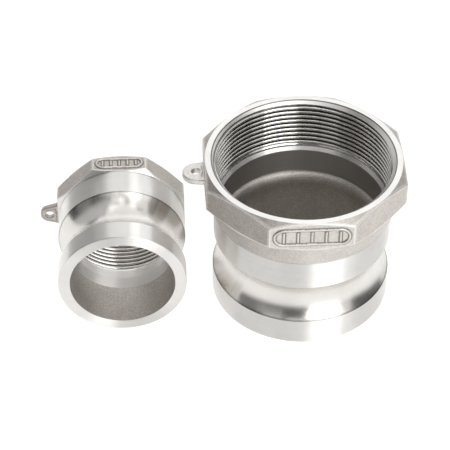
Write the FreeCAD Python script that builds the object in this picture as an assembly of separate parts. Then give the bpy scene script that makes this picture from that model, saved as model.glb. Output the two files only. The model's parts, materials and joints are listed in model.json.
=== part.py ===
import FreeCAD, Part
import math
import os
from collections import namedtuple

# A pair of stainless cam-and-groove adapters, one DN 65 and one DN 40.
# Each has a male cam-groove spigot at one end and a female pipe thread at the other.
# The DN 65 one stands on its spigot face; the DN 40 one lies on its side next to it.
# Millimetres. The origin is the centre of the standing adapter's spigot face, on the floor,
# and +Z runs up that adapter's axis.

Vector = FreeCAD.Vector
AXIS = Vector(0, 0, 1)

# ---------------------------------------------------------------- driving dimensions

Adapter = namedtuple("Adapter", [
    "name",
    "length",            # spigot face to thread-end face
    "spigot_r",          # land between the spigot face and the cam groove
    "groove_start",      # cam groove, measured from the spigot face
    "groove_end",
    "groove_depth",
    "land_r",            # land between the cam groove and the casting
    "land_end",
    "skirt_r",           # cast skirt where it leaves the land, a little proud of it
    "across_flats",      # octagonal wrench section
    "flats_start",       # middle of a flat's lower edge
    "ring_r",            # turned ring round the thread mouth
    "bore",              # (height, radius) corners of the cast bore, from the spigot face up
    "thread_start",      # first full thread, measured from the spigot face
    "thread_major_d",
    "lug_hole_r",        # distance from the axis to the centre of the lug's hole
    "lug_tip_r",         # distance from the axis to the lug's tip
    "lug_width",         # where the lug meets the flat
    "lug_thickness",
    "panel_length",      # raised identity panel on one flat
    "panel_height",
])


def rounded_shoulder(bore_end, bore_r, ledge_height, chamber_r):
    """Corners of a quarter ellipse that leaves the bore straight and ends level at the chamber."""
    rise = ledge_height - bore_end
    step = chamber_r - bore_r
    corners = []
    for degrees in (0, 30, 60, 90):
        angle = math.radians(degrees)
        corners.append((bore_end + rise * math.sin(angle), chamber_r - step * math.cos(angle)))
    return corners


LARGE = Adapter(
    name="large_adapter",
    length=70.0,
    spigot_r=37.9,
    groove_start=12.1,
    groove_end=31.2,
    groove_depth=4.3,
    land_r=37.3,
    land_end=45.3,
    skirt_r=37.7,
    across_flats=82.3,
    flats_start=56.2,
    ring_r=40.8,
    bore=[(0.0, 31.0)] + rounded_shoulder(25.0, 31.0, 33.3, 34.7) + [(44.7, 35.0)],
    thread_start=47.0,
    thread_major_d=75.184,
    lug_hole_r=44.6,
    lug_tip_r=50.2,
    lug_width=12.4,
    lug_thickness=2.8,
    panel_length=31.0,
    panel_height=8.4,
)

SMALL = Adapter(
    name="small_adapter",
    length=50.0,
    spigot_r=26.7,
    groove_start=9.2,
    groove_end=27.7,
    groove_depth=2.9,
    land_r=27.0,
    land_end=40.1,
    skirt_r=27.0,
    across_flats=54.4,
    flats_start=40.1,
    ring_r=26.9,
    bore=[(0.0, 21.9), (19.6, 21.9), (24.7, 21.0), (29.2, 21.0)],
    thread_start=31.8,
    thread_major_d=47.803,
    lug_hole_r=31.0,
    lug_tip_r=35.0,
    lug_width=10.5,
    lug_thickness=2.5,
    panel_length=20.0,
    panel_height=6.0,
)

FLATS = 8
THREAD_PITCH = 2.309             # 11 threads to the inch
THREAD_DEPTH = 1.3               # radial; the crests are bored off inside the minor tolerance
THREAD_FLANK = 27.5              # degrees, half the angle between the flanks
THREAD_ROOT = THREAD_PITCH / 6   # flat at the root
THREAD_OVERLAP = 0.15            # the thread tool starts this far inside the crests
SPIGOT_EDGE = 0.5                # chamfer on the spigot's rim
CHAMFER_ANGLE = 30.0             # of the octagon's turned corners, from the end plane
FIRST_CHAMFER = 0.3              # the mouth's 45 degree chamfer opens this far past the thread
MOUTH_MARGIN = 0.8               # and this far once the thread has been cut
LUG_HOLE_D = 3.8
PANEL_RISE = 0.5                 # panel outline and bars stand this far off the flat
PANEL_STROKE = 0.8
PANEL_BARS = 5
EMBED = 1.0                      # raised detail starts this far inside the metal
CUT_TOLERANCE = 1e-4             # for the helical cut, whose faces are approximated

LARGE_YAW = 3.0                  # both adapters are turned a little about the vertical
SMALL_YAW = 3.0
SMALL_FACE_CENTRE = (-75.0, -30.1)


# ---------------------------------------------------------------- small helpers

def minor_radius(a):
    """Radius of the bored wall that the thread's crests are left on."""
    return a.thread_major_d / 2 - THREAD_DEPTH


def revolve(points):
    """Solid of revolution about Z from a closed outline of (radius, height) corners."""
    corners = [Vector(radius, 0, height) for radius, height in points]
    outline = Part.makePolygon(corners + corners[:1])
    return Part.Face(outline).revolve(Vector(0, 0, 0), AXIS, 360)


def octagon(across_flats, bottom, top):
    """Octagonal prism with one flat facing -Y."""
    corner_r = across_flats / 2 / math.cos(math.pi / FLATS)
    turn = 2 * math.pi / FLATS
    corners = []
    for i in range(FLATS + 1):
        angle = (i + 0.5) * turn
        corners.append(Vector(corner_r * math.cos(angle), corner_r * math.sin(angle), bottom))
    return Part.Face(Part.makePolygon(corners)).extrude(Vector(0, 0, top - bottom))


def slot_face(length, height, y, z):
    """Flat stadium-shaped face in a plane of constant y, centred on height z."""
    end_r = height / 2
    run = length / 2 - end_r
    top = Part.makeLine(Vector(-run, y, z + end_r), Vector(run, y, z + end_r))
    right = Part.Arc(Vector(run, y, z + end_r), Vector(run + end_r, y, z), Vector(run, y, z - end_r))
    bottom = Part.makeLine(Vector(run, y, z - end_r), Vector(-run, y, z - end_r))
    left = Part.Arc(Vector(-run, y, z - end_r), Vector(-run - end_r, y, z), Vector(-run, y, z + end_r))
    return Part.Face(Part.Wire([top, right.toShape(), bottom, left.toShape()]))


# ---------------------------------------------------------------- the casting

def outer_body(a):
    """Spigot with its cam groove, cast skirt and octagonal wrench section."""
    slope = math.tan(math.radians(CHAMFER_ANGLE))
    flat_r = a.across_flats / 2
    corner_r = flat_r / math.cos(math.pi / FLATS)

    spigot = revolve([
        (0, 0),
        (a.spigot_r - SPIGOT_EDGE, 0),
        (a.spigot_r, SPIGOT_EDGE),
        (a.spigot_r, (a.groove_start + a.groove_end) / 2),
        (a.land_r, (a.groove_start + a.groove_end) / 2),
        (a.land_r, a.land_end),
        (a.skirt_r, a.land_end),
        (flat_r, a.flats_start + EMBED),
        (0, a.flats_start + EMBED),
    ])
    lower_edge = a.flats_start + (corner_r - flat_r) * slope
    upper_edge = a.length - (corner_r - a.ring_r) * slope
    turned = revolve([
        (0, a.flats_start),
        (flat_r, a.flats_start),
        (corner_r, lower_edge),
        (corner_r, upper_edge),
        (a.ring_r, a.length),
        (0, a.length),
    ])
    wrench = octagon(a.across_flats, a.flats_start, a.length).common(turned)
    return spigot.fuse(wrench).cut(cam_groove(a))


def cam_groove(a):
    """Ring with a circular-arc section that the coupler's cams press into."""
    half = (a.groove_end - a.groove_start) / 2
    middle = a.groove_start + half
    outside = a.spigot_r + EMBED
    start = Vector(a.spigot_r, 0, a.groove_start)
    deepest = Vector(a.spigot_r - a.groove_depth, 0, middle)
    end = Vector(a.land_r, 0, a.groove_end)
    outline = Part.Wire([
        Part.Arc(start, deepest, end).toShape(),
        Part.makeLine(end, Vector(outside, 0, a.groove_end)),
        Part.makeLine(Vector(outside, 0, a.groove_end), Vector(outside, 0, a.groove_start)),
        Part.makeLine(Vector(outside, 0, a.groove_start), start),
    ])
    return Part.Face(outline).revolve(Vector(0, 0, 0), AXIS, 360)


def bore_cutter(a):
    """Through bore, bored out to the thread's minor diameter, with the mouth's first chamfer."""
    minor_r = minor_radius(a)
    mouth_r = a.thread_major_d / 2 + FIRST_CHAMFER
    last_height, last_r = a.bore[-1]
    wall = [(radius, height) for height, radius in a.bore]
    wall[0] = (wall[0][0], -EMBED)
    wall += [
        (minor_r, last_height + minor_r - last_r),
        (minor_r, a.length - mouth_r + minor_r),
        (mouth_r, a.length),
        (mouth_r, a.length + EMBED),
    ]
    return revolve([(0, -EMBED)] + wall + [(0, a.length + EMBED)])


def thread_cutter(a):
    """One helical groove, from the first full thread out through the mouth."""
    minor_r = minor_radius(a)
    major_r = a.thread_major_d / 2
    inner_r = minor_r - THREAD_OVERLAP
    root = THREAD_ROOT / 2
    inner = root + (major_r - inner_r) * math.tan(math.radians(THREAD_FLANK))
    run = a.length - a.thread_start + THREAD_PITCH
    helix = Part.makeHelix(THREAD_PITCH, run, minor_r)
    profile = Part.makePolygon([
        Vector(inner_r, 0, -inner),
        Vector(major_r, 0, -root),
        Vector(major_r, 0, root),
        Vector(inner_r, 0, inner),
        Vector(inner_r, 0, -inner),
    ])
    groove = Part.Wire(helix).makePipeShell([profile], True, True)
    groove.translate(Vector(0, 0, a.thread_start))
    return groove


def mouth_cutter(a):
    """Cone that opens the mouth's chamfer out to the ring."""
    mouth_r = a.thread_major_d / 2 + MOUTH_MARGIN
    tip = minor_radius(a) - EMBED
    bottom = a.length - mouth_r + tip
    return revolve([
        (0, bottom),
        (tip, bottom),
        (mouth_r + EMBED, a.length + EMBED),
        (0, a.length + EMBED),
    ])


def identity_panel(a):
    """Raised plain panel on the -Y flat: a stadium outline round a row of upright bars."""
    flat_y = -a.across_flats / 2
    middle = (a.flats_start + a.length) / 2
    depth = Vector(0, -(EMBED + PANEL_RISE), 0)
    inner_length = a.panel_length - 2 * PANEL_STROKE
    inner_height = a.panel_height - 2 * PANEL_STROKE
    frame = slot_face(a.panel_length, a.panel_height, flat_y + EMBED, middle)
    frame = frame.cut(slot_face(inner_length, inner_height, flat_y + EMBED, middle))
    pieces = [frame.extrude(depth)]
    spacing = (inner_length - inner_height) / (PANEL_BARS - 1)
    bar_height = inner_height - 2 * PANEL_STROKE
    for i in range(PANEL_BARS):
        centre = (i - (PANEL_BARS - 1) / 2) * spacing
        corner = Vector(centre - PANEL_STROKE / 2, flat_y - PANEL_RISE, middle - bar_height / 2)
        pieces.append(Part.makeBox(PANEL_STROKE, EMBED + PANEL_RISE, bar_height, corner))
    return pieces


def adapter_body(a):
    solid = outer_body(a).cut(bore_cutter(a))
    solid = solid.fuse(identity_panel(a)).removeSplitter()
    groove = thread_cutter(a)
    threaded = solid.cut([groove], CUT_TOLERANCE)
    # a failed helical cut can hand back the plain bore without an error
    if solid.Volume - threaded.Volume < abs(groove.Volume) / 2:
        raise ValueError(f"the thread was not cut in {a.name}_body")
    return threaded.cut(mouth_cutter(a))


# ---------------------------------------------------------------- the lug

def lug(a):
    """Flat ear on the -X flat with a hole for a dust cap's chain."""
    flat_x = -a.across_flats / 2
    middle = (a.flats_start + a.length) / 2
    bottom = middle - a.lug_thickness / 2
    tip_r = a.lug_tip_r - a.lug_hole_r
    centre = Vector(-a.lug_hole_r, 0, bottom)
    reach = a.lug_hole_r + flat_x
    half = a.lug_width / 2
    # the straight sides run from the ends of the root to where they touch the round tip
    distance = math.hypot(reach, half)
    touch = math.atan2(half, reach) + math.acos(tip_r / distance)
    side = Vector(tip_r * math.cos(touch), tip_r * math.sin(touch), 0)
    upper = centre + side
    lower = centre + Vector(side.x, -side.y, 0)
    outline = Part.Wire([
        Part.makeLine(Vector(flat_x, -half, bottom), Vector(flat_x, half, bottom)),
        Part.makeLine(Vector(flat_x, half, bottom), upper),
        Part.Arc(upper, Vector(-a.lug_tip_r, 0, bottom), lower).toShape(),
        Part.makeLine(lower, Vector(flat_x, -half, bottom)),
    ])
    plate = Part.Face(outline).extrude(Vector(0, 0, a.lug_thickness))
    hole = Part.makeCylinder(LUG_HOLE_D / 2, a.lug_thickness + 2 * EMBED, centre - AXIS * EMBED)
    return plate.cut(hole)


# ---------------------------------------------------------------- where each adapter sits

def standing():
    return FreeCAD.Placement(Vector(0, 0, 0), FreeCAD.Rotation(AXIS, LARGE_YAW))


def lying(a):
    """On its side, touching the floor with the spigot's rim and the edge of one flat."""
    tilt = math.asin((a.across_flats / 2 - a.spigot_r) / (a.flats_start - SPIGOT_EDGE))
    rim_height = a.spigot_r * math.cos(tilt) - SPIGOT_EDGE * math.sin(tilt)
    laid = FreeCAD.Rotation(Vector(1, 0, 0), math.degrees(tilt) - 90)
    turned = FreeCAD.Rotation(AXIS, SMALL_YAW)
    x, y = SMALL_FACE_CENTRE
    return FreeCAD.Placement(Vector(x, y, rim_height), turned.multiply(laid))


def main():
    os.makedirs("parts", exist_ok=True)
    for adapter, place in ((LARGE, standing()), (SMALL, lying(SMALL))):
        for piece, shape in (("body", adapter_body(adapter)), ("lug", lug(adapter))):
            shape = shape.copy()
            shape.Placement = place.multiply(shape.Placement)
            if not shape.isValid() or len(shape.Solids) != 1:
                raise ValueError(f"{adapter.name}_{piece} is not one valid solid")
            shape.exportStep(f"parts/{adapter.name}_{piece}.step")
            box = shape.BoundBox
            print(f"{adapter.name}_{piece}: volume {shape.Volume:.0f} mm3,"
                  f" z {box.ZMin:.3f} to {box.ZMax:.3f}")


main()
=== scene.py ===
"""A pair of stainless cam-and-groove adapters on a pale table, one standing and one lying."""

import json
import math
from collections import namedtuple

import bmesh
import bpy
import numpy as np
from mathutils import Matrix, Vector


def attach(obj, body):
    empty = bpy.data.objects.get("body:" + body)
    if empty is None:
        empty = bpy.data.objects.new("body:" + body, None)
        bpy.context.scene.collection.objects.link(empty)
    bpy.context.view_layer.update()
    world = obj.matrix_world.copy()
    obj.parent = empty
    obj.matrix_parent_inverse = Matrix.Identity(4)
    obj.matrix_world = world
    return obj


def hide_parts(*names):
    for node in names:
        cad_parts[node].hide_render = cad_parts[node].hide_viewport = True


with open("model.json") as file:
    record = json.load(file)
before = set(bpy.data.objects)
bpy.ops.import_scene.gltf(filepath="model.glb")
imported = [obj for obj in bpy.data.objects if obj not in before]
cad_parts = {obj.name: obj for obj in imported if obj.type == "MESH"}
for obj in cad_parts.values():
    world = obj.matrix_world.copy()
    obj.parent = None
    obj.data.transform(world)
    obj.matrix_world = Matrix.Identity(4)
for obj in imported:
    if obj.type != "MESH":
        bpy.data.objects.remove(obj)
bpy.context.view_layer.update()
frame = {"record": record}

MM = 0.001
FLATS = 8
SECTOR = 2 * math.pi / FLATS

# ------------------------------------------------------------------ sizes, mm

Adapter = namedtuple("Adapter", [
    "name", "length",
    "spigot_r", "groove_start", "groove_end", "groove_depth", "land_r", "land_end",
    "skirt_r", "flat_r", "flats_start", "ring_r",
    "bore", "band_start", "thread_start", "major_r", "minor_r",
    "edge_round",        # radius on the casting's outer edges
    "skirt_is_cast",     # the small adapter's octagon is turned on its lower corners
    "panel_length", "panel_height",
    "lug_hole_r", "lug_tip_r", "lug_width", "lug_thickness",
    "flat_wear",         # painted shade (-1) to painted light (+1), flat by flat from the -Y one towards +X
])

LARGE = Adapter(
    name="large_adapter", length=70.0,
    spigot_r=37.9, groove_start=12.1, groove_end=31.2, groove_depth=4.3,
    land_r=37.3, land_end=45.3,
    skirt_r=37.7, flat_r=41.15, flats_start=56.2, ring_r=40.8,
    bore=[(0.0, 31.0), (25.0, 31.0), (33.3, 34.7), (44.7, 35.0)],
    band_start=45.99, thread_start=47.0, major_r=37.592, minor_r=36.292,
    edge_round=0.8, skirt_is_cast=True,
    panel_length=31.0, panel_height=8.4,
    lug_hole_r=44.6, lug_tip_r=50.2, lug_width=12.4, lug_thickness=2.8,
    flat_wear=(0.34, 0.1, -0.1, 0.1, 0.2, 0.0, -0.2, -0.4),
)

SMALL = Adapter(
    name="small_adapter", length=50.0,
    spigot_r=26.7, groove_start=9.2, groove_end=27.7, groove_depth=2.9,
    land_r=27.0, land_end=40.1,
    skirt_r=27.0, flat_r=27.2, flats_start=40.1, ring_r=26.9,
    bore=[(0.0, 21.9), (19.6, 21.9), (24.7, 21.0), (29.2, 21.0)],
    band_start=30.8, thread_start=31.8, major_r=23.902, minor_r=22.602,
    edge_round=0.6, skirt_is_cast=False,
    panel_length=20.0, panel_height=6.0,
    lug_hole_r=31.0, lug_tip_r=35.0, lug_width=10.5, lug_thickness=2.5,
    flat_wear=(0.0, -0.1, 0.0, -0.1, 0.0, 0.1, 0.0, -0.1),
)

CHAMFER_SLOPE = math.tan(math.radians(30))     # of the octagon's turned corners
SPIGOT_EDGE = 0.5
MOUTH_MARGIN = 0.8       # the mouth's 45 degree chamfer opens this far past the thread
GROOVE_ROWS = 41         # along the cam groove's arc
GROOVE_EDGE = 0.35       # rounding of the groove's two edges
ROUND_ROWS = 6           # along a corner's rounding
PANEL_STEP = 0.25        # between columns on the panel's flat
FLAT_STEP = 1.1          # and on the other flats

PITCH = 2.309            # 11 threads to the inch
CREST = 0.247            # flat crest and flat root, as shares of the pitch
ROOT = 1 / 6
ROUNDING = 0.08          # depth of the rounding on crests and roots, as a share of the thread's
FLANK_EASE = 0.09        # how far a flank bends into its crest and root
RUN_OUT = 0.9            # pitches over which the thread's lower end fades out
RUN_OUT_BELOW = 0.6      # mm below the thread's start at which it is gone

PANEL_RISE = 0.5
PANEL_STROKE = 0.8
PANEL_BARS = 5
PANEL_SLOPE = 0.3        # width of the raised lines' sloping sides

LUG_HOLE_R = 1.9
LUG_BURY = 0.6           # the lug's root goes this far into the flat
LUG_FLARE = 1.0          # and widens over this length
LUG_DIP = 0.2            # depth of the hollow between the lug's rim and the boss round its hole
LUG_DIP_FROM = 0.28      # where the hollow starts, and how wide it is, as shares of the way
LUG_DIP_WIDTH = 0.5      # from the hole to the rim
LUG_EDGE = 0.7           # rounding of its outer edges
STEEPEST = 1.3           # radians; a straight edge seen flatter than this isn't followed further

SHADE_REACH = 0.5        # how far painted shade spreads from the foot of raised lines, and below the seam
GROOVE_SHADE = 0.8       # strength and reach of the painted shade in the groove's two corners
GROOVE_SHADE_REACH = 0.7
RUB_AND_HIGHLIGHT_REACH = 0.7       # how far rubbed metal with a painted highlight spreads from the octagon's edges
CORNER_SHARPNESS = 1.4   # how much narrower it is at the upright corners
RUB_AND_HIGHLIGHT_BELOW = 0.5       # and it starts this far below the flats
LINE_RUB = 0.6           # how rubbed the panel's raised lines are
TOP_PAINTED_SHADE = 0.15         # extra painted shade on the octagon's upper corners
EDGE = 0.01              # keeps a test off the row that lies on a boundary
RING_EDGE = 0.02         # rows this close to the mouth's plane are on its ring
THREAD_SHADE_FROM = 0.15 # depth in the thread at which painted shade starts, as a share of the thread's
THREAD_SHADE_OVER = 0.5  # and over how much more depth it grows to full
MOUTH_LINE = 0.4         # width of the painted shade line on the mouth's chamfer
MOUTH_LINE_FADE = 0.15
WELD_DISTANCE = 2e-6     # metres

CASTING_WAVE = 0.06      # depth of the waviness of cast surfaces
WAVES = ((6.0, 0.5), (1.6, 0.5))               # its wavelengths, each with its share

# the finishes of a body's faces, which are also the places of its materials
CAST, TURNED, THREAD, BORED, GROOVED, FACED = range(6)

# ------------------------------------------------------------------ looks and stage

# painted shade mixed into the metal in corners, creases, thread roots and on the darker flats; below
# it the colour for rubbed metal and for painted light on edges and brighter flats
PAINTED_SHADE = (0.10, 0.09, 0.08)
PAINTED_SHADE_STRENGTH = 0.9
RUBBED_AND_LIT = (0.93, 0.91, 0.88)
UV_LENGTH = 0.1          # metres of section to one unit of V

TABLE_SIZE, TABLE_SQUARES = 6.0, 8             # metres; squares along each side
TABLE_GREY = (0.35, 0.35, 0.35, 1)
TABLE_GLOW = 0.82
PAD_GREY = (0.6, 0.58, 0.55, 1)
PAD_HEIGHT = 0.0001
PAD_GAP = 0.1            # mm between the pad's edge and the bore
DULL = 0.9               # roughness of table and pad
SURROUNDINGS = 0.05

CAMERA_TARGET = Vector((-0.0325, 0.0356, 0))   # metres
CAMERA_ELEVATION = 42.25                       # degrees
CAMERA_DISTANCE = 0.797
CAMERA_LENS = 140.75     # mm, on a 36 mm wide sensor
SENSOR_WIDTH = 36.0
NEAR_CLIP = 0.01
LIGHT_CENTRE = Vector((-0.03, 0, 0.03))
LIGHT_DISTANCE = 1.3


# ------------------------------------------------------------------ placing

def mount(name):
    """The mount of that name in the part's record."""
    return next(m for m in frame["record"]["mounts"] if m["name"] == name)


def placement(a):
    """From an adapter's own axes (Z from spigot face to thread, lug on -X) to the row frame."""
    prefix = a.name.split("_")[0]
    bore = mount(prefix + "_bore")
    origin = Vector(bore["pos_m"])
    axis = -Vector(bore["axis"]).normalized()
    to_lug = Vector(mount(prefix + "_lug_hole")["pos_m"]) - origin
    x_axis = -(to_lug - axis * to_lug.dot(axis)).normalized()
    y_axis = axis.cross(x_axis)
    return Matrix((
        (x_axis.x, y_axis.x, axis.x, origin.x),
        (x_axis.y, y_axis.y, axis.y, origin.y),
        (x_axis.z, y_axis.z, axis.z, origin.z),
        (0, 0, 0, 1),
    ))


# ------------------------------------------------------------------ noise

def lattice(i, j, k):
    """Repeatable random values in 0..1 at whole-number points."""
    n = (i * 73856093) ^ (j * 19349663) ^ (k * 83492791)
    n = (n ^ (n >> 13)) * 1274126177
    return ((n ^ (n >> 16)) & 0xFFFF) / 0xFFFF


def noise(points, scale):
    """Smooth value noise in -1..1; points and scale in the same unit."""
    p = points / scale + 1000.0
    whole = np.floor(p).astype(np.int64)
    part = p - whole
    part = part * part * (3 - 2 * part)
    total = np.zeros(len(points))
    for dx in (0, 1):
        for dy in (0, 1):
            for dz in (0, 1):
                weight = np.abs(1 - dx - part[:, 0]) * np.abs(1 - dy - part[:, 1])
                weight = weight * np.abs(1 - dz - part[:, 2])
                total += weight * lattice(whole[:, 0] + dx, whole[:, 1] + dy, whole[:, 2] + dz)
    return 2 * total - 1


# ------------------------------------------------------------------ section rows
# A body is a grid. Its columns run round the axis, and its rows follow the section from the
# spigot face's inner edge, up the outside, and down the inside. Angle 0 is the -Y flat.

# round is the radius of the rounding at a corner. finish and spacing hold from this corner to the
# next; spacing is the greatest distance between rows there.
Corner = namedtuple("Corner", ["r", "z", "round", "finish", "spacing"])


def column_angles(a):
    """Angles round the axis: close together on the panel's flat and at the octagon's corners."""
    half = SECTOR / 2
    fillet = corner_fillet_angle(a)
    angles = []
    for sector in range(FLATS):
        step = PANEL_STEP if sector == 0 else FLAT_STEP
        count = max(6, int(2 * a.flat_r * math.tan(half - fillet) / step))
        across = np.linspace(-(half - fillet), half - fillet, count + 1)
        corner = np.linspace(half - fillet, half + fillet, 9)[1:-1]
        angles += list(sector * SECTOR + across) + list(sector * SECTOR + corner)
    return np.array(angles)


def corner_fillet_angle(a):
    """Half the angle that an octagon corner's rounding takes up, seen from the axis."""
    centre = (a.flat_r - a.edge_round) / math.cos(SECTOR / 2)
    side = a.edge_round * math.sin(SECTOR / 2)
    return math.atan2(side, centre + a.edge_round * math.cos(SECTOR / 2))


def octagon_r(a, angles):
    """Distance from the axis to the octagon with rounded corners."""
    half = SECTOR / 2
    from_flat = (angles + half) % SECTOR - half
    straight = a.flat_r / np.cos(from_flat)
    from_corner = half - np.abs(from_flat)
    centre = (a.flat_r - a.edge_round) / math.cos(half)
    inside = a.edge_round ** 2 - (centre * np.sin(from_corner)) ** 2
    arc = centre * np.cos(from_corner) + np.sqrt(np.maximum(inside, 0))
    return np.where(from_corner < corner_fillet_angle(a), arc, straight)


def rows_from(corners, count):
    """Turns corners into rows of (r, z), rounding each corner and dividing long runs."""
    points = [np.array([np.broadcast_to(c.r, count), np.broadcast_to(c.z, count)]) for c in corners]
    enter, leave = list(points), list(points)
    for i in range(1, len(corners) - 1):
        if not corners[i].round:
            continue
        back, ahead = points[i - 1] - points[i], points[i + 1] - points[i]
        back_length = np.maximum(np.hypot(*back), 1e-9)
        ahead_length = np.maximum(np.hypot(*ahead), 1e-9)
        cosine = np.clip((back * ahead).sum(0) / (back_length * ahead_length), -1, 1)
        tangent = corners[i].round / np.tan(np.arccos(cosine) / 2)
        tangent = np.minimum(tangent, 0.45 * np.minimum(back_length, ahead_length))
        enter[i] = points[i] + back / back_length * tangent
        leave[i] = points[i] + ahead / ahead_length * tangent
    rows, finishes = [], []
    for i, corner in enumerate(corners):
        if corner.round and 0 < i < len(corners) - 1:
            for s in np.linspace(0, 1, ROUND_ROWS):
                rows.append((1 - s) ** 2 * enter[i] + 2 * s * (1 - s) * points[i] + s ** 2 * leave[i])
                finishes.append(corners[i - 1].finish if s < 0.3 else corner.finish)
        else:
            rows.append(points[i])
            finishes.append(corner.finish)
        finishes[-1] = corner.finish
        if i + 1 < len(corners):
            span = enter[i + 1] - leave[i]
            length = np.hypot(*span)
            pieces = max(1, math.ceil(length.max() / corner.spacing))
            # a row close to each end keeps the rounding's shading from spreading along the run
            guard = min(0.06, 0.2 / pieces)
            fractions = [guard] + list(np.linspace(0, 1, pieces + 1)[1:-1]) + [1 - guard]
            for fraction in fractions:
                rows.append(leave[i] + span * fraction)
                finishes.append(corner.finish)
    return rows, finishes


def groove_corners(a):
    """The cam groove's circular arc, as corners close enough to shade smoothly."""
    half = (a.groove_end - a.groove_start) / 2
    middle = a.groove_start + half
    edge_r = (a.spigot_r + a.land_r) / 2
    radius = (half ** 2 + a.groove_depth ** 2) / (2 * a.groove_depth)
    opening = math.asin(half / radius)
    corners = []
    last = GROOVE_ROWS - 1
    for i, angle in enumerate(np.linspace(-opening, opening, GROOVE_ROWS)):
        lean = (a.land_r - a.spigot_r) * (angle / opening) / 2
        r = edge_r + lean + radius * (math.cos(opening) - math.cos(angle))
        edge = GROOVE_EDGE if i in (0, last) else 0
        finish = TURNED if i == last else GROOVED
        corners.append(Corner(r, middle + radius * math.sin(angle), edge, finish, 1.0))
    return corners


def flat_limits(a, flat_r):
    """Lowest and highest z on the octagon at a distance flat_r from the axis, between the cones
    that its corners are turned to."""
    lower = a.flats_start + (flat_r - a.flat_r) * CHAMFER_SLOPE
    upper = a.length - (flat_r - a.ring_r) * CHAMFER_SLOPE
    return lower, upper


def outer_corners(a, angles):
    """From the spigot face's inner edge, up the outside, to the mouth ring's inner edge."""
    flat_r = octagon_r(a, angles)
    lower, upper = flat_limits(a, flat_r)
    corners = [
        Corner(a.bore[0][1], 0, 0, TURNED, 1.2),
        Corner(a.spigot_r, 0, SPIGOT_EDGE, TURNED, 2.0),
    ]
    corners += groove_corners(a)
    if a.skirt_is_cast:
        corners += [
            Corner(a.land_r, a.land_end, 0.08, CAST, 0.6),
            Corner(a.skirt_r, a.land_end, 0.25, CAST, 0.6),
            Corner(a.flat_r, a.flats_start, 1.2, CAST, 0.6),
        ]
    else:
        corners.append(Corner(a.skirt_r, a.land_end, 0.15, TURNED, 0.6))
    corners += [
        Corner(flat_r, lower, a.edge_round, CAST, 0.25),
        Corner(flat_r, upper, a.edge_round, CAST, 0.6),
        Corner(a.ring_r, a.length, 0.15, FACED, 1.0),
        Corner(a.major_r + MOUTH_MARGIN, a.length, 0, TURNED, 0.3),
    ]
    return corners


def inner_corners(a):
    """From the spigot face's inner edge up the bore to where the tapped wall starts."""
    if len(a.bore) != 4:
        raise ValueError("a bore is stated as four corners")
    (_, bore_r), (bore_end, _), (ledge_z, ledge_r), (top_z, top_r) = a.bore
    corners = [Corner(bore_r, 0, 0, CAST, 0.7)]
    if ledge_r > bore_r:
        for angle in np.linspace(0, math.pi / 2, 13):
            r = ledge_r - (ledge_r - bore_r) * math.cos(angle)
            z = bore_end + (ledge_z - bore_end) * math.sin(angle)
            corners.append(Corner(r, z, 0, BORED if angle > 1.5 else CAST, 0.7))
        corners.append(Corner(top_r, top_z, 0.3, TURNED, 0.7))
    else:
        corners += [
            Corner(bore_r, bore_end, 0.8, TURNED, 0.7),
            Corner(ledge_r, ledge_z, 0.8, TURNED, 0.7),
            Corner(top_r, top_z, 0.3, TURNED, 0.7),
        ]
    corners.append(Corner(a.minor_r, a.band_start, 0, TURNED, 0.5))
    return corners


# ------------------------------------------------------------------ thread

def thread_section():
    """One pitch of the thread as (fraction of the pitch, depth from crest 0 to root 1)."""
    flank = (1 - CREST - ROOT) / 2
    points = []
    for s in (-0.5, -0.38, -0.2, 0, 0.2, 0.38, 0.5):
        points.append((s * CREST, ROUNDING * (2 * s) ** 2))
    for s in (0.1, 0.2, 0.35, 0.5, 0.65, 0.8, 0.9):
        points.append((CREST / 2 + s * flank, flank_depth(s)))
    for s in (-0.5, -0.2, 0.2, 0.5):
        points.append((0.5 + s * ROOT, 1 - ROUNDING * (2 * s) ** 2))
    for s in (0.9, 0.8, 0.65, 0.5, 0.35, 0.2, 0.1):
        points.append((1 - CREST / 2 - s * flank, flank_depth(s)))
    return points


def flank_depth(s):
    """Depth a fraction s of the way down a flank, eased into the rounded crest and root."""
    eased = s - FLANK_EASE * math.sin(2 * math.pi * s)
    return ROUNDING + (1 - 2 * ROUNDING) * eased


def thread_rows(a, angles):
    """Rows that climb one pitch in a turn, from the band below the thread to the mouth's edge,
    and how many rows one pitch has."""
    section = thread_section()
    depth = a.major_r - a.minor_r
    mouth_r = a.major_r + MOUTH_MARGIN
    climb = (angles - angles[0]) / (2 * math.pi)
    first = math.floor((a.band_start - a.thread_start) / PITCH) - 2
    last = math.ceil((a.length - a.thread_start) / PITCH) + 1
    rows = []
    for turn in range(first, last):
        for fraction, deep in section:
            z = a.thread_start + PITCH * (turn + fraction + climb)
            above = z - a.thread_start + RUN_OUT_BELOW
            fade = np.clip(above / (RUN_OUT * PITCH), 0, 1)
            r = a.minor_r + depth * deep * fade * fade * (3 - 2 * fade)
            z = np.clip(z, a.band_start, a.length)
            r = np.maximum(r, mouth_r - (a.length - z))
            r = np.where(z <= a.band_start, a.minor_r, r)
            rows.append(np.array([r, z]))
    return rows, len(section)


# ------------------------------------------------------------------ the raised panel

def stadium(x, z, length, height):
    """Signed distance to a stadium outline centred on 0, negative inside."""
    run = (length - height) / 2
    return np.hypot(np.maximum(np.abs(x) - run, 0), z) - height / 2


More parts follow.
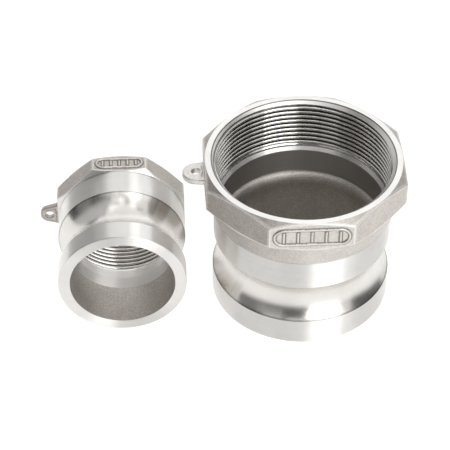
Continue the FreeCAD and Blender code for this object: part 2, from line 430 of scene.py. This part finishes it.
def panel_relief(a, x, z):
    """How far the -Y flat stands out at x along it and z from its middle, and the tone there:
    painted shade (-1) round the foot of the raised lines, rubbed metal (+1) on top of them."""
    outline = stadium(x, z, a.panel_length - PANEL_STROKE, a.panel_height - PANEL_STROKE)
    edge = np.abs(outline) - PANEL_STROKE / 2
    inner_length = a.panel_length - 2 * PANEL_STROKE
    inner_height = a.panel_height - 2 * PANEL_STROKE
    spacing = (inner_length - inner_height) / (PANEL_BARS - 1)
    bar_half = inner_height / 2 - PANEL_STROKE
    for i in range(PANEL_BARS):
        centre = (i - (PANEL_BARS - 1) / 2) * spacing
        bar = np.maximum(np.abs(x - centre) - PANEL_STROKE / 2, np.abs(z) - bar_half)
        edge = np.minimum(edge, bar)
    t = np.clip(0.5 - edge / PANEL_SLOPE, 0, 1)
    # painted shade round the foot of the raised lines
    foot = np.clip(1 - np.abs(edge - PANEL_SLOPE / 2) / SHADE_REACH, 0, 1)
    return PANEL_RISE * t * t * (3 - 2 * t), np.where(edge < 0, LINE_RUB * t, -foot)


# ------------------------------------------------------------------ building a body

def grid_faces(rows, columns):
    """Quads between neighbouring rows, closed round the axis, wound to face away from the metal."""
    i = np.arange(rows - 1)[:, None] * columns
    j = np.arange(columns)[None, :]
    k = (j + 1) % columns
    return np.stack([i + j, i + k, i + columns + k, i + columns + j], -1)


def body_mesh(a):
    """An adapter's body as points, quads, each quad's finish and each point's wear and painted light
    and shade.
    """
    angles = column_angles(a)
    n = len(angles)
    outer, outer_finish = rows_from(outer_corners(a, angles), n)
    inner, inner_finish = rows_from(inner_corners(a), n)
    thread, per_turn = thread_rows(a, angles)

    rows = np.array(outer + thread[::-1] + inner[::-1])
    r, z = rows[:, 0], rows[:, 1]
    x = r * np.sin(angles)
    y = -r * np.cos(angles)

    middle = (a.flats_start + a.length) / 2
    on_flat = np.abs((angles + math.pi) % (2 * math.pi) - math.pi) < SECTOR / 2
    outside = np.zeros((len(rows), 1), bool)
    outside[:len(outer)] = True
    tall = (z > a.flats_start) & (z < a.length) & outside & on_flat
    rise, panel_wear_and_shade = panel_relief(a, x, z - middle)
    y = np.where(tall, y - rise, y)
    points = np.stack([x, y, z], -1).reshape(-1, 3)

    tapped = np.zeros((len(rows), 1), bool)
    tapped[len(outer):len(outer) + len(thread)] = True
    chamfer = tapped & (np.abs(r - (a.major_r + MOUTH_MARGIN - (a.length - z))) < 1e-6)
    wear = np.where(outside, outer_wear_and_light(a, angles, z), 0)
    wear = np.where(tall & (panel_wear_and_shade != 0), panel_wear_and_shade, wear)
    wear = np.where(tapped, tapped_painted_shade(a, r, z, chamfer), wear)

    # strips of quads: outside, thread (whose rows shift a turn at the seam), inside
    quads, finishes = [], []
    whole = grid_faces(len(rows), n)
    start, stop = len(outer), len(outer) + len(thread)
    for i in range(len(rows) - 1):
        strip = whole[i]
        if start <= i < stop - 1:
            strip = strip.copy()
            # the seam joins the last column to the first column a turn further on
            strip[-1, 1] = shifted(strip[-1, 1], i, start, stop, per_turn, n)
            strip[-1, 2] = shifted(strip[-1, 2], i + 1, start, stop, per_turn, n)
            finish = np.where(chamfer[i] & chamfer[i + 1], FACED, THREAD)
        elif i < start - 1:
            finish = outer_finish[i]
        elif i >= stop:
            finish = inner_finish[len(inner) - 2 - (i - stop)]
        else:
            finish = TURNED
        quads.append(strip)
        finishes.append(np.broadcast_to(finish, n))
    return points, np.concatenate(quads), np.concatenate(finishes), wear.reshape(-1)


def tapped_painted_shade(a, r, z, chamfer):
    """Painted shade inside the mouth: darker from just below the thread's crests down to its roots,
    and a painted dark line round the outer part of the chamfer."""
    deep = (r - a.minor_r) / (a.major_r - a.minor_r)
    # painted shade in the thread's roots
    in_roots = np.clip((deep - THREAD_SHADE_FROM) / THREAD_SHADE_OVER, 0, 1)
    on_chamfer = np.clip((a.length - z - MOUTH_LINE) / MOUTH_LINE_FADE, -1, 0)
    return np.where(chamfer, on_chamfer, -in_roots)


def outer_wear_and_light(a, angles, z):
    """Outside: painted shade in the turned corners, rubbed metal with a painted highlight along the
    octagon's edges, and painted light and shade flat by flat on the casting."""
    flat = (np.floor(angles / SECTOR + 0.5) % FLATS).astype(int)
    each = np.array(a.flat_wear)
    turns = np.arange(FLATS + 1) * SECTOR
    around = np.interp(angles % (2 * math.pi), turns, np.append(each, each[0]))
    from_flat = (angles + SECTOR / 2) % SECTOR - SECTOR / 2
    from_corner = (SECTOR / 2 - np.abs(from_flat)) * a.flat_r
    lower, upper = flat_limits(a, a.flat_r / np.cos(from_flat))
    on_flat = (z > lower) & (z < upper)
    reach = np.minimum(np.abs(z - lower), np.abs(z - upper))
    reach = np.where(on_flat, np.minimum(reach, CORNER_SHARPNESS * from_corner), reach)
    # rubbed metal with a painted highlight along the octagon's edges
    rub_and_highlight = np.clip(1 - reach / RUB_AND_HIGHLIGHT_REACH, 0, 1)
    rub_and_highlight = np.where(z > a.flats_start - RUB_AND_HIGHLIGHT_BELOW, rub_and_highlight, 0)
    # painted shade below the seam and in the groove's two corners
    shade_in_corners = np.clip(1 - (a.land_end - z) / SHADE_REACH, 0, 1) * (z < a.land_end)
    in_groove = (z > a.groove_start + EDGE) & (z < a.groove_end - EDGE)
    edge = np.minimum(z - a.groove_start, a.groove_end - z)
    corner = GROOVE_SHADE * np.clip(1 - edge / GROOVE_SHADE_REACH, 0, 1)
    shade_in_corners = np.maximum(shade_in_corners, corner * in_groove)
    # painted light and shade flat by flat, with more painted shade on the upper corners
    painted_tone = np.where(on_flat, each[flat], around) * (z > a.land_end)
    painted_tone = np.where(z > upper, painted_tone - TOP_PAINTED_SHADE, painted_tone)
    on_ring = z > a.length - RING_EDGE
    return np.where(on_ring, 0, painted_tone * (1 - rub_and_highlight) + rub_and_highlight) - shade_in_corners


def shifted(index, row, start, stop, per_turn, n):
    """The vertex of column 0 that meets the last column of this thread row at the seam."""
    target = min(max(row - per_turn, start), stop - 1)
    return index + (target - row) * n


def make_object(name, points, quads, finishes, wear, place, materials):
    """A piece whose vertices are in the row frame. It keeps each vertex's place in the adapter's
    own axes as an attribute, and its UV map runs round the axis (U) and along the section (V)."""
    mesh = bpy.data.meshes.new(name)
    mesh.from_pydata((points * MM).tolist(), [], quads.tolist())
    mesh.polygons.foreach_set("material_index", finishes.astype(np.int32))
    mesh.polygons.foreach_set("use_smooth", np.ones(len(finishes), bool))
    for material in materials:
        mesh.materials.append(material)
    own = mesh.attributes.new("own_place", "FLOAT_VECTOR", "POINT")
    own.data.foreach_set("vector", (points * MM).reshape(-1))
    worn = mesh.attributes.new("wear", "FLOAT", "POINT")
    worn.data.foreach_set("value", wear)
    weld(mesh)
    map_round_axis(mesh)
    mesh.transform(place)
    return add_object(name, mesh)


def add_object(name, data):
    """A new object in the scene for this mesh, light or camera."""
    new = bpy.data.objects.new(name, data)
    bpy.context.scene.collection.objects.link(new)
    return new


def map_round_axis(mesh):
    """U is the turn round the local Z axis; V grows along the section, up and inwards."""
    corners = np.empty(len(mesh.loops), np.int32)
    mesh.loops.foreach_get("vertex_index", corners)
    points = np.empty(len(mesh.vertices) * 3)
    mesh.vertices.foreach_get("co", points)
    x, y, z = points.reshape(-1, 3)[corners].T
    turn = np.arctan2(y, x) / (2 * math.pi)
    starts = np.empty(len(mesh.polygons), np.int32)
    mesh.polygons.foreach_get("loop_start", starts)
    sizes = np.diff(np.append(starts, len(corners)))
    top = np.repeat(np.maximum.reduceat(turn, starts), sizes)
    turn = np.where(top - turn > 0.5, turn + 1, turn)
    along = (z - 0.35 * np.hypot(x, y)) / UV_LENGTH
    layer = mesh.uv_layers.new(name="lathe")
    layer.data.foreach_set("uv", np.stack([turn, along], -1).reshape(-1))


def weld(mesh):
    """Joins the rows that meet, which also removes faces with no area."""
    work = bmesh.new()
    work.from_mesh(mesh)
    bmesh.ops.remove_doubles(work, verts=work.verts, dist=WELD_DISTANCE)
    bmesh.ops.dissolve_degenerate(work, edges=work.edges, dist=1e-7)
    bmesh.ops.recalc_face_normals(work, faces=work.faces)
    work.to_mesh(mesh)
    work.free()
    mesh.update()


def roughen(mesh, finish, depth, scales):
    """Moves a cast surface's points along their normals by soft noise, leaving other finishes."""
    count = len(mesh.vertices)
    points = np.empty(count * 3)
    normals = np.empty(count * 3)
    mesh.vertices.foreach_get("co", points)
    mesh.vertex_normals.foreach_get("vector", normals)
    points = points.reshape(-1, 3)
    normals = normals.reshape(-1, 3)
    loose = np.ones(count)
    for polygon in mesh.polygons:
        if polygon.material_index != finish:
            loose[list(polygon.vertices)] = 0
    height = np.zeros(count)
    for scale, share in scales:
        height += share * noise(points / MM, scale)
    moved = points + normals * (height * loose * depth * MM)[:, None]
    mesh.vertices.foreach_set("co", moved.reshape(-1))
    mesh.update()


# ------------------------------------------------------------------ building a lug

def lug_outline(a, around):
    """Distance from the hole's centre to the lug's edge; angle 0 points at the axis."""
    tip = a.lug_tip_r - a.lug_hole_r
    reach = a.lug_hole_r - a.flat_r
    half = a.lug_width / 2
    root_corner = math.atan2(half, reach)
    touch = root_corner + math.acos(tip / math.hypot(reach, half))
    turn = np.abs((around + math.pi) % (2 * math.pi) - math.pi)
    side = tip / np.cos(np.minimum(np.abs(turn - touch), STEEPEST))
    buried = (reach + LUG_BURY) / np.cos(np.minimum(turn, STEEPEST))
    edge = np.where(turn > touch, tip, side)
    return np.where(turn < root_corner, np.minimum(buried, edge), edge)


def lug_mesh(a):
    """A lug as points, quads, each quad's finish and each point's wear and painted light, which is
    none.
    """
    reach = a.lug_hole_r - a.flat_r
    root_corner = math.atan2(a.lug_width / 2, reach + LUG_BURY)
    around = np.concatenate([
        np.linspace(-root_corner, root_corner, 25),
        np.linspace(root_corner, 2 * math.pi - root_corner, 97)[1:-1],
    ])
    edge = lug_outline(a, around)
    top, bottom = a.lug_thickness / 2, -a.lug_thickness / 2
    rows, _ = rows_from([
        Corner(LUG_HOLE_R, 0, 0, CAST, 0.3),
        Corner(LUG_HOLE_R, top, 0.3, CAST, 0.2),
        Corner(edge, top, LUG_EDGE, CAST, 0.3),
        Corner(edge, bottom, LUG_EDGE, CAST, 0.2),
        Corner(LUG_HOLE_R, bottom, 0.3, CAST, 0.3),
        Corner(LUG_HOLE_R, 0, 0, CAST, 0.3),
    ], len(around))
    rows = np.array(rows)
    r, z = rows[:, 0], rows[:, 1]
    # both faces dip a little between the rim round the edge and the boss round the hole
    across = (r - LUG_HOLE_R) / (edge - LUG_HOLE_R)
    into_dip = np.clip((across - LUG_DIP_FROM) / LUG_DIP_WIDTH, 0, 1)
    dip = LUG_DIP * np.sin(math.pi * into_dip) ** 2
    z = z - np.sign(z) * dip
    x = -a.lug_hole_r + r * np.cos(around)
    y = r * np.sin(around)
    # the root flares into the flat
    away = np.clip(-a.flat_r - x, 0, LUG_FLARE)
    flare = LUG_FLARE - np.sqrt(LUG_FLARE ** 2 - (LUG_FLARE - away) ** 2)
    z = z * (1 + flare / a.lug_thickness)
    y = y * (1 + flare / a.lug_width)
    middle = (a.flats_start + a.length) / 2
    points = np.stack([x, y, z + middle], -1).reshape(-1, 3)
    quads = grid_faces(len(rows), len(around)).reshape(-1, 4)
    return points, quads, np.full(len(quads), CAST), np.zeros(len(points))


# ------------------------------------------------------------------ materials

class Nodes:
    """Adds nodes to a new material, laid out left to right, with short calls."""

    def __init__(self, name):
        self.material = bpy.data.materials.new(name)
        self.material.use_nodes = True
        self.tree = self.material.node_tree
        self.shader = self.tree.nodes["Principled BSDF"]

    def add(self, kind, settings=None, **inputs):
        node = self.tree.nodes.new(kind)
        for key, value in (settings or {}).items():
            setattr(node, key, value)
        for key, value in inputs.items():
            self.put(node.inputs[key.replace("_", " ")], value)
        return node

    def put(self, socket, value):
        if isinstance(value, bpy.types.NodeSocket):
            self.tree.links.new(value, socket)
        else:
            socket.default_value = value

    def own_place(self):
        """The place in the adapter's own axes, so that the grain follows the piece."""
        return self.add("ShaderNodeAttribute", {"attribute_name": "own_place"}).outputs["Vector"]

    def math(self, operation, a, b=0.0, c=0.0):
        node = self.tree.nodes.new("ShaderNodeMath")
        node.operation = operation
        for socket, value in zip(node.inputs, (a, b, c)):
            self.put(socket, value)
        return node.outputs[0]

    def noise(self, vector, scale, detail=4.0, roughness=0.6):
        shape = {"Scale": scale, "Detail": detail, "Roughness": roughness}
        node = self.add("ShaderNodeTexNoise", Vector=vector, **shape)
        return node.outputs["Fac"]

    def ramp(self, factor, stops):
        node = self.add("ShaderNodeValToRGB", Fac=factor)
        elements = node.color_ramp.elements
        while len(elements) < len(stops):
            elements.new(0.5)
        for element, (position, colour) in zip(elements, stops):
            element.position = position
            element.color = (*colour, 1)
        return node.outputs["Color"]

    def tint(self, colour, other, share):
        node = self.add("ShaderNodeMix", {"data_type": "RGBA"})
        self.put(node.inputs["Factor"], share)
        self.put(node.inputs["A"], colour)
        self.put(node.inputs["B"], (*other, 1))
        return node.outputs["Result"]

    def worn(self, colour, rub_and_light_share):
        """A colour darkened by painted shade, and brightened by rubbed wear and by painted light."""
        wear = self.add("ShaderNodeAttribute", {"attribute_name": "wear"}).outputs["Fac"]
        # negative values are painted shade; positive values are rubbed metal and painted light
        shade_amount = self.math("MAXIMUM", self.math("MULTIPLY", wear, -1.0), 0.0)
        shade_share = self.math("MULTIPLY", shade_amount, PAINTED_SHADE_STRENGTH)
        bright = self.math("MULTIPLY", self.math("MAXIMUM", wear, 0.0), rub_and_light_share)
        return self.tint(self.tint(colour, RUBBED_AND_LIT, bright), PAINTED_SHADE, shade_share)

    def between(self, factor, low, high):
        node = self.add("ShaderNodeMapRange", Value=factor)
        node.inputs["To Min"].default_value = low
        node.inputs["To Max"].default_value = high
        return node.outputs["Result"]

    def bump(self, height, strength, distance, normal=None):
        node = self.add("ShaderNodeBump", Strength=strength, Distance=distance, Height=height)
        if normal is not None:
            self.put(node.inputs["Normal"], normal)
        return node.outputs["Normal"]


def around_axis(n, position):
    """Lathe coordinates from a position in the adapter's own axes: turn, radius and height."""
    split = n.add("ShaderNodeSeparateXYZ", Vector=position)
    x, y, z = split.outputs
    turn = n.math("ARCTAN2", y, x)
    radius = n.math("SQRT", n.math("ADD", n.math("MULTIPLY", x, x), n.math("MULTIPLY", y, y)))
    return turn, radius, z


# Noise and pit scales below are cells to the metre: 1300 gives a grain of about 0.8 mm.

def cast_steel(name, dark, light, rough_low, rough_high, grain_depth):
    """Sand-blasted investment casting: a fine matt grain, faint blotches and scattered pits."""
    n = Nodes(name)
    position = n.own_place()
    blotch = n.noise(position, 110.0, 3.0)
    grain = n.noise(position, 1300.0, 2.0, 0.8)
    speck = n.noise(position, 3600.0, 1.0)
    mixed = n.math("ADD", n.math("MULTIPLY", blotch, 0.25), n.math("MULTIPLY", grain, 0.75))
    tone = n.ramp(mixed, [(0.36, dark), (0.62, light)])
    n.put(n.shader.inputs["Base Color"], n.worn(tone, rub_and_light_share=0.7))
    n.shader.inputs["Metallic"].default_value = 1.0
    n.put(n.shader.inputs["Roughness"], n.between(grain, rough_low, rough_high))
    pits = n.add("ShaderNodeTexVoronoi", {"feature": "F1"}, Vector=position, Scale=1100.0)
    hollow = n.math("MINIMUM", n.math("MULTIPLY", pits.outputs["Distance"], 2.4), 1.0)
    coarse = n.bump(hollow, 0.3, grain_depth)
    medium = n.bump(grain, 0.8, grain_depth, coarse)
    n.put(n.shader.inputs["Normal"], n.bump(speck, 0.4, 0.4 * grain_depth, medium))
    return n.material


def turned_steel(name, colour, rough_low, rough_high, anisotropy, ring_depth, banding=0.3):
    """Lathe-turned face: fine rings round the axis that draw highlights out along it."""
    n = Nodes(name)
    position = n.own_place()
    turn, radius, height = around_axis(n, position)
    rings = n.add("ShaderNodeCombineXYZ")
    n.put(rings.inputs[0], n.math("MULTIPLY", turn, 0.0008))
    n.put(rings.inputs[1], radius)
    n.put(rings.inputs[2], height)
    fine = n.noise(rings.outputs[0], 3800.0, 2.0, 0.6)
    wide = n.noise(rings.outputs[0], 900.0, 2.0, 0.5)
    stain = n.noise(position, 60.0, 4.0)
    tone = n.math("ADD", n.math("MULTIPLY", stain, 1 - banding), n.math("MULTIPLY", wide, banding))
    duller = tuple(c * 0.9 for c in colour)
    base = n.ramp(tone, [(0.35, duller), (0.6, colour)])
    n.put(n.shader.inputs["Base Color"], n.worn(base, rub_and_light_share=0.0))
    n.shader.inputs["Metallic"].default_value = 1.0
    n.put(n.shader.inputs["Roughness"], n.between(tone, rough_low, rough_high))
    n.shader.inputs["Anisotropic"].default_value = anisotropy
    n.shader.inputs["Anisotropic Rotation"].default_value = 0.25
    tangent = n.add("ShaderNodeTangent", {"direction_type": "UV_MAP", "uv_map": "lathe"})
    n.put(n.shader.inputs["Tangent"], tangent.outputs["Tangent"])
    n.put(n.shader.inputs["Normal"], n.bump(fine, 0.5, ring_depth, n.bump(wide, 0.3, ring_depth)))
    return n.material


# ------------------------------------------------------------------ table, light and camera

def dull_grey(name, colour):
    """The nodes of a plain matt material for the stage."""
    n = Nodes(name)
    n.shader.inputs["Base Color"].default_value = colour
    n.shader.inputs["Roughness"].default_value = DULL
    return n


def table_top():
    """A large pale sheet under the pair."""
    steps = TABLE_SQUARES
    line = np.linspace(-TABLE_SIZE / 2, TABLE_SIZE / 2, steps + 1)
    points = [(x, y, 0) for y in line for x in line]
    faces = []
    for row in range(steps):
        for column in range(steps):
            corner = row * (steps + 1) + column
            faces.append((corner, corner + 1, corner + steps + 2, corner + steps + 1))
    mesh = bpy.data.meshes.new("table")
    mesh.from_pydata(points, [], faces)
    n = dull_grey("table_white", TABLE_GREY)
    n.shader.inputs["Emission Color"].default_value = (1, 1, 1, 1)
    n.shader.inputs["Emission Strength"].default_value = TABLE_GLOW
    mesh.materials.append(n.material)
    table = add_object("table", mesh)


def bore_pad(radius):
    """A dull disc on the table inside the standing adapter's bore, so that the table's glow
    doesn't rise in it."""
    work = bmesh.new()
    bmesh.ops.create_circle(work, cap_ends=True, segments=64, radius=radius)
    bmesh.ops.translate(work, verts=work.verts, vec=(0, 0, PAD_HEIGHT))
    mesh = bpy.data.meshes.new("bore_pad")
    work.to_mesh(mesh)
    work.free()
    mesh.materials.append(dull_grey("pad_grey", PAD_GREY).material)
    pad = add_object("bore_pad", mesh)


Softbox = namedtuple("Softbox", ["name", "left", "right", "low", "high", "radiance"])


def hang(box):
    """A rectangular light aimed at the pair. Its edges are angles seen from the pair, in degrees:
    azimuth 0 is behind the camera and 90 is on the right, and elevation 0 is level."""
    turn = math.radians(box.left + box.right) / 2
    lift = math.radians(box.low + box.high) / 2
    width = math.radians(box.right - box.left)
    height = math.radians(box.high - box.low)
    level = math.cos(lift)
    towards = Vector((math.sin(turn) * level, -math.cos(turn) * level, math.sin(lift)))
    light = bpy.data.lights.new(box.name, "AREA")
    light.shape = "RECTANGLE"
    light.size = 2 * LIGHT_DISTANCE * math.tan(width / 2) * level
    light.size_y = 2 * LIGHT_DISTANCE * math.tan(height / 2)
    light.energy = box.radiance * math.pi * light.size * light.size_y
    lamp = add_object(box.name, light)
    lamp.location = LIGHT_CENTRE + towards * LIGHT_DISTANCE
    lamp.rotation_euler = towards.to_track_quat("Z", "Y").to_euler()
    lamp.visible_camera = False


def surroundings(level):
    """An even, faint grey all round."""
    world = bpy.data.worlds.new("studio")
    bpy.context.scene.world = world
    world.use_nodes = True
    world.node_tree.nodes["Background"].inputs["Color"].default_value = (level, level, level, 1)


def camera():
    """Looks down on the pair along +Y."""
    lift = math.radians(CAMERA_ELEVATION)
    back = Vector((0, -math.cos(lift), math.sin(lift)))
    data = bpy.data.cameras.new("camera")
    data.lens = CAMERA_LENS
    data.sensor_width = SENSOR_WIDTH
    data.clip_start = NEAR_CLIP
    view = add_object("camera", data)
    view.location = CAMERA_TARGET + back * CAMERA_DISTANCE
    view.rotation_euler = back.to_track_quat("Z", "Y").to_euler()
    bpy.context.scene.camera = view


# ------------------------------------------------------------------ the scene

# Angles are in degrees, as hang() has them, and radiances in the unit of TABLE_GLOW.
STUDIO = [
    Softbox("key", 10, 50, 0, 42, 3.2),
    Softbox("key_edge", 50, 65, 0, 42, 0.7),
    Softbox("front_top", 15, 80, 42, 58, 1.1),
    Softbox("front_high", 15, 45, 58, 74, 1.8),
    Softbox("front_high_right", 45, 80, 58, 74, 3.3),
    Softbox("front_high_left", -20, 15, 45, 74, 1.2),
    Softbox("left", -55, -20, 16, 40, 0.35),
    Softbox("left_far", -100, -55, 16, 40, 0.15),
    Softbox("left_top", -55, -20, 40, 74, 0.7),
    Softbox("right_top", 80, 140, 42, 74, 0.9),
    Softbox("back_right", 110, 150, 0, 42, 0.75),
    Softbox("back", 150, 210, 0, 28, 1.3),
    Softbox("back_middle", 150, 210, 28, 50, 0.9),
    Softbox("back_top", 140, 220, 50, 74, 1.0),
    Softbox("back_left", 210, 260, 0, 74, 0.55),
    Softbox("roof_right", 60, 120, 74, 90, 0.9),
    Softbox("roof_back", 150, 210, 74, 90, 1.2),
    Softbox("roof_left", 240, 300, 74, 90, 1.9),
]

casting = cast_steel(
    "cast_steel", dark=(0.43, 0.398, 0.366), light=(0.64, 0.599, 0.558),
    rough_low=0.42, rough_high=0.54, grain_depth=0.000055)
# a lighter copy of the cast steel for the large adapter's lug: painted light for its brightly lit top
lit_lug_steel = cast_steel(
    "ear_steel", dark=(0.64, 0.62, 0.59), light=(0.86, 0.84, 0.81),
    rough_low=0.36, rough_high=0.50, grain_depth=0.00005)
turned = turned_steel(
    "turned_steel", colour=(0.86, 0.843, 0.815),
    rough_low=0.34, rough_high=0.40, anisotropy=1.0, ring_depth=0.000004, banding=0.2)
threaded = turned_steel(
    "threaded_steel", colour=(0.88, 0.86, 0.83),
    rough_low=0.15, rough_high=0.20, anisotropy=0.8, ring_depth=0.000001)
# a darker copy of the turned steel for the large adapter's chamber wall: painted shade inside the
# bore
shaded_bored_steel = turned_steel(
    "bored_steel", colour=(0.43, 0.41, 0.39),
    rough_low=0.40, rough_high=0.48, anisotropy=0.6, ring_depth=0.000006)
grooved = turned_steel(
    "grooved_steel", colour=(0.78, 0.755, 0.72),
    rough_low=0.22, rough_high=0.28, anisotropy=0.75, ring_depth=0.000003, banding=0.15)
faced = turned_steel(
    "faced_steel", colour=(0.97, 0.955, 0.93),
    rough_low=0.36, rough_high=0.42, anisotropy=0.0, ring_depth=0.000003, banding=0.15)
body_materials = (casting, turned, threaded, shaded_bored_steel, grooved, faced)      # in the finishes' order

for adapter, lug_material in ((LARGE, lit_lug_steel), (SMALL, casting)):
    place = placement(adapter)
    body = make_object(adapter.name, *body_mesh(adapter), place, body_materials)
    roughen(body.data, CAST, CASTING_WAVE, WAVES)
    lug = make_object(adapter.name + "_ear", *lug_mesh(adapter), place, (lug_material,))
    for piece, node, slot in (
        (body, "_body", "stainless_casting"),
        (lug, "_lug", "stainless_lug"),
    ):
        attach(piece, adapter.name)
        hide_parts(adapter.name + node)

table_top()
bore_pad((LARGE.bore[0][1] - PAD_GAP) * MM)
surroundings(SURROUNDINGS)
for box in STUDIO:
    hang(box)
camera()
bpy.context.scene.view_settings.view_transform = "Standard"
